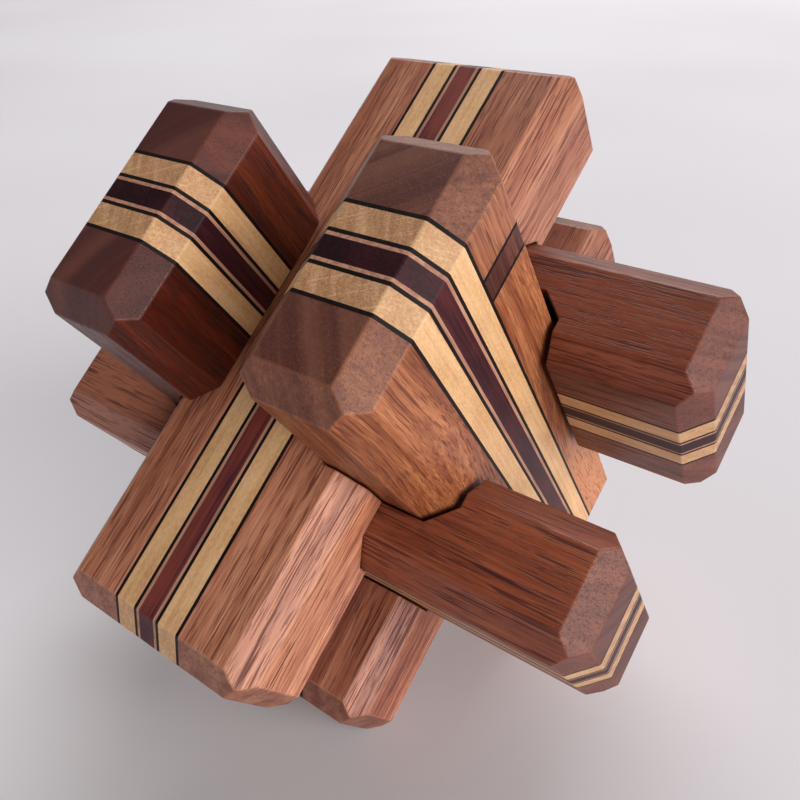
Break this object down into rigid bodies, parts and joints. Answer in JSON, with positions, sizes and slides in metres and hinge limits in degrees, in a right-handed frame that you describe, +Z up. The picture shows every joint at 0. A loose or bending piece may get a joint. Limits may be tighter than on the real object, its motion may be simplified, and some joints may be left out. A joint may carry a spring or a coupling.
{
  "type": "wooden burr puzzle",
  "caption": "Interlocking wooden burr puzzle of laminated boards in crossing pairs, with chamfered edges and striped centres, standing on its board ends; one straight key board slides out.",
  "frame": {"origin": "on the surface that the puzzle stands on, directly below its centre", "axes": "+Z up; +X along the back and front boards; the top and bottom boards run along +Y and rise to the back, and the left and key boards stand up and lean forward, because the whole puzzle leans back about X"},
  "size_m": [0.105, 0.1142, 0.1032],
  "materials": {
    "dark_wood": "satin oiled, reddish brown with dark pores",
    "maple": "satin, pale",
    "purpleheart": "satin, dark maroon",
    "black_veneer": "satin, dyed black",
    "pale_veneer": "satin, pinkish"
  },
  "bodies": {
    "fixed_boards": {"top_board_block_1": "dark_wood", "top_board_block_2": "dark_wood", "top_board_maple_1": "maple", "top_board_maple_2": "maple", "top_board_purpleheart": "purpleheart", "top_board_black_veneers": "black_veneer", "top_board_pale_veneers": "pale_veneer", "left_board_block_1": "dark_wood", "left_board_block_2": "dark_wood", "left_board_maple_1": "maple", "left_board_maple_2": "maple", "left_board_purpleheart": "purpleheart", "left_board_black_veneers": "black_veneer", "left_board_pale_veneers": "pale_veneer", "front_board_block_1": "dark_wood", "front_board_block_2": "dark_wood", "front_board_maple_1": "maple", "front_board_maple_2": "maple", "front_board_purpleheart": "purpleheart", "front_board_black_veneers": "black_veneer", "front_board_pale_veneers": "pale_veneer"},
    "key_board": {"key_board_block_1": "dark_wood", "key_board_block_2": "dark_wood", "key_board_maple_1": "maple", "key_board_maple_2": "maple", "key_board_purpleheart": "purpleheart", "key_board_black_veneers": "black_veneer", "key_board_pale_veneers": "pale_veneer", "key_board_band": "dark_wood", "key_board_band_lines": "black_veneer", "key_board_end_cap": "dark_wood"},
    "back_board": {"back_board_block_1": "dark_wood", "back_board_block_2": "dark_wood", "back_board_maple_1": "maple", "back_board_maple_2": "maple", "back_board_purpleheart": "purpleheart", "back_board_black_veneers": "black_veneer", "back_board_pale_veneers": "pale_veneer"},
    "bottom_board": {"bottom_board_block_1": "dark_wood", "bottom_board_block_2": "dark_wood", "bottom_board_maple_1": "maple", "bottom_board_maple_2": "maple", "bottom_board_purpleheart": "purpleheart", "bottom_board_black_veneers": "black_veneer", "bottom_board_pale_veneers": "pale_veneer"}
  },
  "joints": [
    {"name": "key_slide", "type": "slide", "parent": "fixed_boards", "child": "key_board", "axis": [0, -0.5824, 0.8129], "range_m": [0, 0.082]},
    {"name": "back_board_slide", "type": "slide", "parent": "fixed_boards", "child": "back_board", "axis": [1, 0, 0], "range_m": [0, 0.0095]},
    {"name": "bottom_board_slide", "type": "slide", "parent": "fixed_boards", "child": "bottom_board", "axis": [0, -0.8129, -0.5824], "range_m": [0, 0.0095]}
  ]
}
